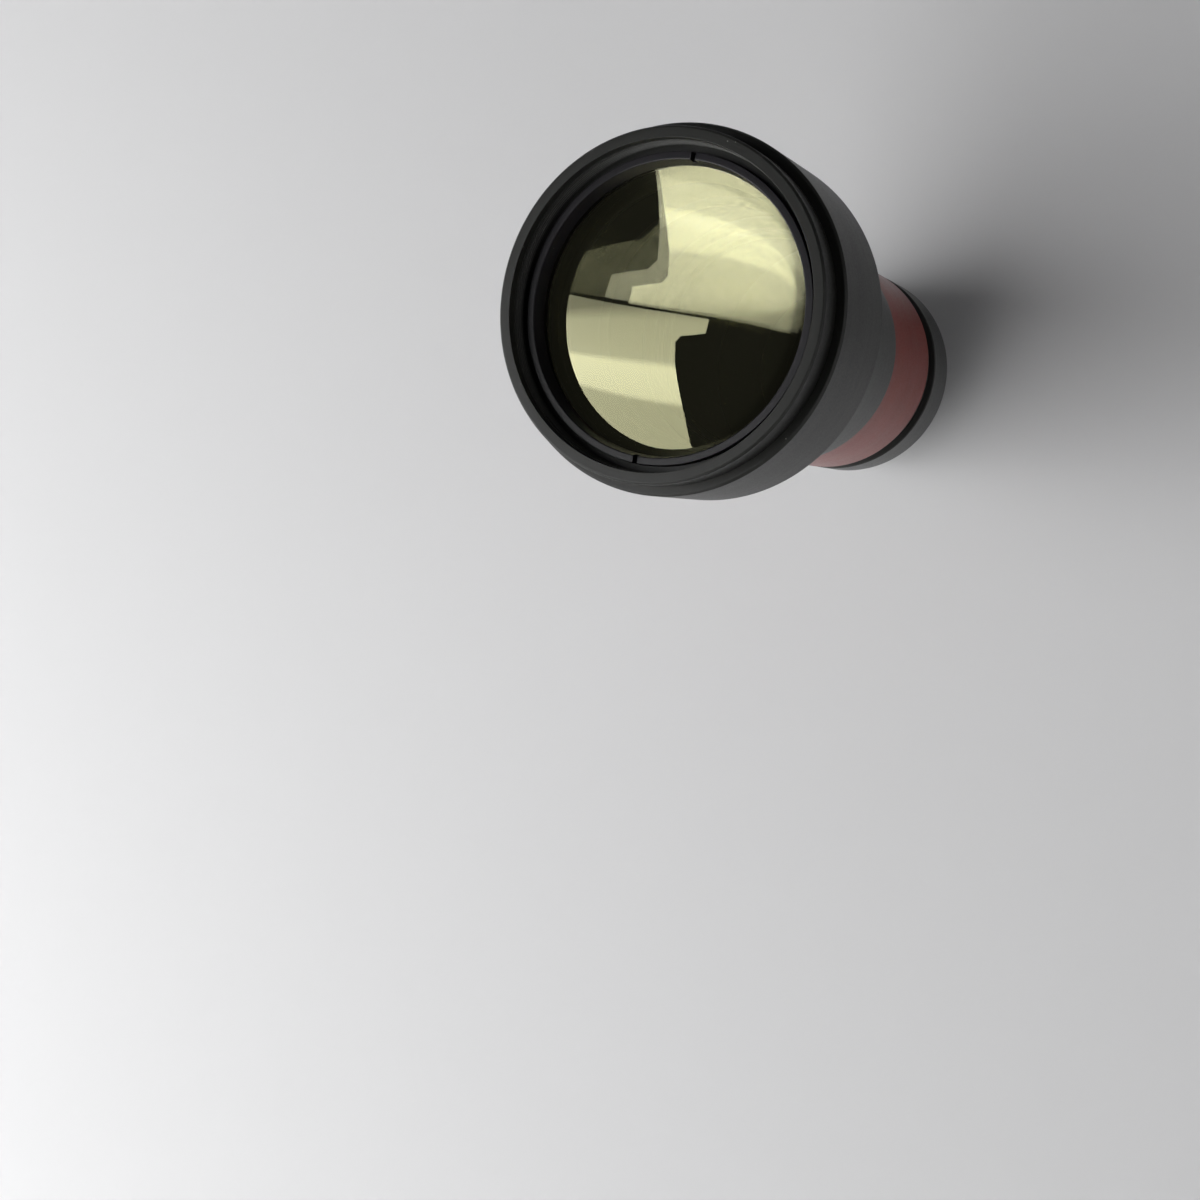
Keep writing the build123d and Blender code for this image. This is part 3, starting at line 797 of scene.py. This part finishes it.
ground_rim = machined(
    "ground_rim",
    dark=(0.05, 0.05, 0.05),
    light=(0.09, 0.09, 0.085),
    worn=(0.2, 0.2, 0.19),
    roughness=0.6,
    wear=0.2,
)
print("machined finishes:", len(bpy.data.materials))

# %% [markdown]
# ## Coated glass
# A coating turns the reflection pale gold, so each glass surface has a small metallic share with its
# own tint. The four surfaces of the output lenses don't reflect alike: the first face of each lens is
# the brighter one, and the last face is the dimmest. The ground edge takes the matt material.

# %% Glass
GLASS_IOR = 1.52
RIM_BAND = 0.06  # faces this close to the lens's edge, in millimetres, can be part of the ground rim
RIM_TILT = 0.2


def coated_glass(name, tint, metallic, specular_tint=(1.0, 1.0, 1.0)):
    """Clear glass under a tinted coating, with a little dust and a faint smear."""
    material, tree, shader = new_material(name)
    speck = use(tree, "dust_specks", Scale=420.0, Amount=0.3)
    drift = use(tree, "tone_drift", Cloud=60.0, Grain=1500.0)
    faded = tuple(0.97 * part for part in tint)
    tone = between(tree, spread(tree, drift["Cloud"], 0.0, 1.0), faded, tint)
    tree.links.new(between(tree, speck["Mask"], tone, (0.9, 0.9, 0.85)), shader.inputs["Base Color"])
    dusty = calculate(tree, "MULTIPLY", speck["Mask"], 0.4)
    smear = calculate(tree, "ADD", spread(tree, drift["Cloud"], 0.0, 0.012), dusty)
    tree.links.new(smear, shader.inputs["Roughness"])
    shader.inputs["Metallic"].default_value = metallic
    shader.inputs["Specular Tint"].default_value = (*specular_tint, 1.0)
    shader.inputs["Transmission Weight"].default_value = 1.0
    shader.inputs["IOR"].default_value = GLASS_IOR
    return material


gold_coat = coated_glass("gold_coat", (0.97, 0.95, 0.60), 0.085, (1.0, 0.98, 0.5))
inner_coat = coated_glass("inner_coat", (0.99, 0.99, 0.95), 0.035)
bright_coat = coated_glass("bright_coat", (0.98, 0.98, 0.88), 0.13)
plain_coat = coated_glass("plain_coat", (0.98, 0.97, 0.85), 0.0)

GLASS = (
    (front_lens, LENS_RADIUS, gold_coat, inner_coat),
    (rear_lens, LENS_RADIUS, bright_coat, plain_coat),
    (input_lens, INPUT_LENS_RADIUS, inner_coat, gold_coat),
)
for piece, edge_radius, upper_coat, lower_coat in GLASS:
    for material in (upper_coat, lower_coat, ground_rim):
        piece.data.materials.append(material)
    for face in piece.data.polygons:
        distance = math.hypot(face.center.x, face.center.y)
        on_rim = distance > mm(edge_radius - RIM_BAND) and abs(face.normal.z) < RIM_TILT
        face.material_index = 2 if on_rim else int(face.normal.z < 0)
    print(piece.name, "has", sum(face.material_index == 2 for face in piece.data.polygons), "rim faces")

# %% [markdown]
# ## Giving out the finishes
# New pieces take a material in their mesh. A CAD node's mesh is left alone, so its material goes into
# the object's own slot. The table also lists the record's material slot that each piece stands for; the loop doesn't
# use it.

# %% Finishes
# Pieces inside the bore take the darker copy of black anodised, which is painted shade.
# The barrel and the divergence ring take the lighter copy of black anodised, which is painted sheen.
PIECE_FINISH = {
    "output_cell": ("black_anodised", black_anodised),
    "output_retaining_ring": ("black_anodised", black_anodised_painted_shade),
    "output_lens_front": ("coated_glass", None),
    "output_lens_spacer": ("black_anodised", black_anodised_painted_shade),
    "output_lens_rear": ("coated_glass", None),
    "output_housing": ("black_anodised", black_anodised),
    "housing_set_screws": ("black_steel", black_steel),
    "main_barrel": ("black_anodised", black_anodised_painted_sheen),
    "red_sleeve": ("red_lacquer", red_lacquer),
    "baffle_retaining_ring": ("black_anodised", black_anodised_painted_shade),
    "front_baffle": ("black_anodised", black_anodised_painted_shade),
    "rear_baffle": ("black_anodised", black_anodised_painted_shade),
    "front_glide_washer": ("black_acetal", black_acetal),
    "divergence_ring": ("black_anodised", black_anodised_painted_sheen),
    "pin_access_plug": ("black_steel", black_steel),
    "lock_screw": ("black_steel", black_steel),
    "lock_pad": ("nylon", nylon),
    "rear_glide_washer": ("black_acetal", black_acetal),
    "wave_washer": ("spring_steel", spring_steel),
    "input_cell": ("black_anodised", black_anodised_painted_shade),
    "input_lens": ("coated_glass", None),
    "input_retaining_ring": ("black_anodised", black_anodised_painted_shade),
    "drive_pin": ("black_steel", black_steel),
    "input_mount": ("black_anodised", black_anodised),
    "input_mount_screws": ("black_steel", black_steel),
}
for node, (slot_name, material) in PIECE_FINISH.items():
    piece = NEW_PIECES.get(node, frame["nodes"][node])
    if material is not None and node in NEW_PIECES:
        piece.data.materials.append(material)
    elif material is not None:
        piece.material_slots[0].link = "OBJECT"
        piece.material_slots[0].material = material
print("finished pieces:", len(PIECE_FINISH))

# %% [markdown]
# ## The studio
# The floor is a pale sheet. Two cards light the object: one hangs above, off to one side, and is what
# the glass reflects, and one stands at the side, which the red sleeve reflects. The camera doesn't see
# the cards. The edge of the upper card was worked out from where its reflection ends in the photograph,
# and its brighter and darker bands from where they cross the glass.

# %% Stage
FLOOR_RADIUS, FLOOR_LEVEL = 3.0, -0.0002
CARD_HEIGHT = 0.75
UPPER_CARD_MM = [
    (15, 122), (-29, 119), (-47, 161), (-61, 199), (-84, 214), (-149, 195), (-232, 158), (-313, 121), (-405, 88),
    (-1000, -190), (-2600, -930), (-2600, 2600), (-219, 2600), (-70, 916), (-46, 626), (-19, 374), (1, 230),
]
UPPER_STRENGTH, SIDE_STRENGTH = 5.6, 0.7
SIDE_CARD = [(-0.9, -1.2, 0.2), (0.9, -1.2, 0.2), (0.9, -1.2, 1.0), (-0.9, -1.2, 1.0)]
BAND_LEAN, BANDS_START, BANDS_END = 0.232, -400, 100
BANDS = ((0.0, 0.40), (0.29, 0.42), (0.33, 0.85), (0.55, 0.95), (0.60, 0.50), (0.86, 0.42), (0.97, 0.12))


def stage_material(name, colour, strength=0.0):
    """A plain matt surface, or a glowing one if it has a strength."""
    material, tree, shader = new_material(name)
    shader.inputs["Base Color"].default_value = (*colour, 1.0)
    shader.inputs["Roughness"].default_value = 0.9
    shader.inputs["Specular IOR Level"].default_value = 0.0
    shader.inputs["Emission Color"].default_value = (*colour, 1.0)
    shader.inputs["Emission Strength"].default_value = strength
    return material


def card(name, corners, strength):
    """A flat, white, glowing card from its corners in metres, hidden from the camera."""
    mesh = bpy.data.meshes.new(name)
    mesh.from_pydata(corners, [], [range(len(corners))])
    piece = bpy.data.objects.new(name, mesh)
    bpy.context.scene.collection.objects.link(piece)
    mesh.materials.append(stage_material(name, (1.0, 1.0, 1.0), strength))
    piece.visible_camera = False
    return piece


def add_bands(material):
    """Makes a card's glow brighter and darker in slanting bands."""
    tree = material.node_tree
    x, y, z = parts_of(tree, object_place(tree))
    across = calculate(tree, "ADD", x, calculate(tree, "MULTIPLY", y, BAND_LEAN))
    ramp = tree.nodes.new("ShaderNodeValToRGB")
    tree.links.new(spread(tree, across, 0.0, 1.0, mm(BANDS_START), mm(BANDS_END)), ramp.inputs["Fac"])
    while len(ramp.color_ramp.elements) < len(BANDS):
        ramp.color_ramp.elements.new(1.0)
    for element, (position, tone) in zip(ramp.color_ramp.elements, BANDS):
        element.position, element.color = position, (tone, tone, tone, 1.0)
    glow = calculate(tree, "MULTIPLY", ramp.outputs["Color"], UPPER_STRENGTH)
    tree.links.new(glow, tree.nodes["Principled BSDF"].inputs["Emission Strength"])


bpy.ops.mesh.primitive_circle_add(vertices=96, radius=FLOOR_RADIUS, fill_type="NGON", location=(0, 0, FLOOR_LEVEL))
floor = bpy.context.active_object
floor.name = "floor"
floor.data.materials.append(stage_material("floor_paper", (0.66, 0.66, 0.665)))

upper_corners = [(mm(x), mm(y), CARD_HEIGHT) for x, y in UPPER_CARD_MM]
add_bands(card("upper_card", upper_corners, UPPER_STRENGTH).active_material)
card("side_card", SIDE_CARD, SIDE_STRENGTH)

# %% [markdown]
# ## The world
# The camera sees a pale backdrop, and everything else sees a dim room. Light Path tells them apart.

# %% World
world = bpy.data.worlds.new("studio")
bpy.context.scene.world = world
world.use_nodes = True
tree = world.node_tree
background = tree.nodes["Background"]
background.inputs["Color"].default_value = (0.03, 0.03, 0.032, 1.0)
backdrop = tree.nodes.new("ShaderNodeBackground")
backdrop.inputs["Color"].default_value = (0.92, 0.92, 0.92, 1.0)
seen_by = tree.nodes.new("ShaderNodeLightPath")
choose = tree.nodes.new("ShaderNodeMixShader")
tree.links.new(seen_by.outputs["Is Camera Ray"], choose.inputs["Fac"])
tree.links.new(background.outputs[0], choose.inputs[1])
tree.links.new(backdrop.outputs[0], choose.inputs[2])
tree.links.new(choose.outputs[0], tree.nodes["World Output"].inputs["Surface"])

bpy.context.scene.view_settings.view_transform = "Standard"
print("stage pieces: floor, upper_card, side_card")
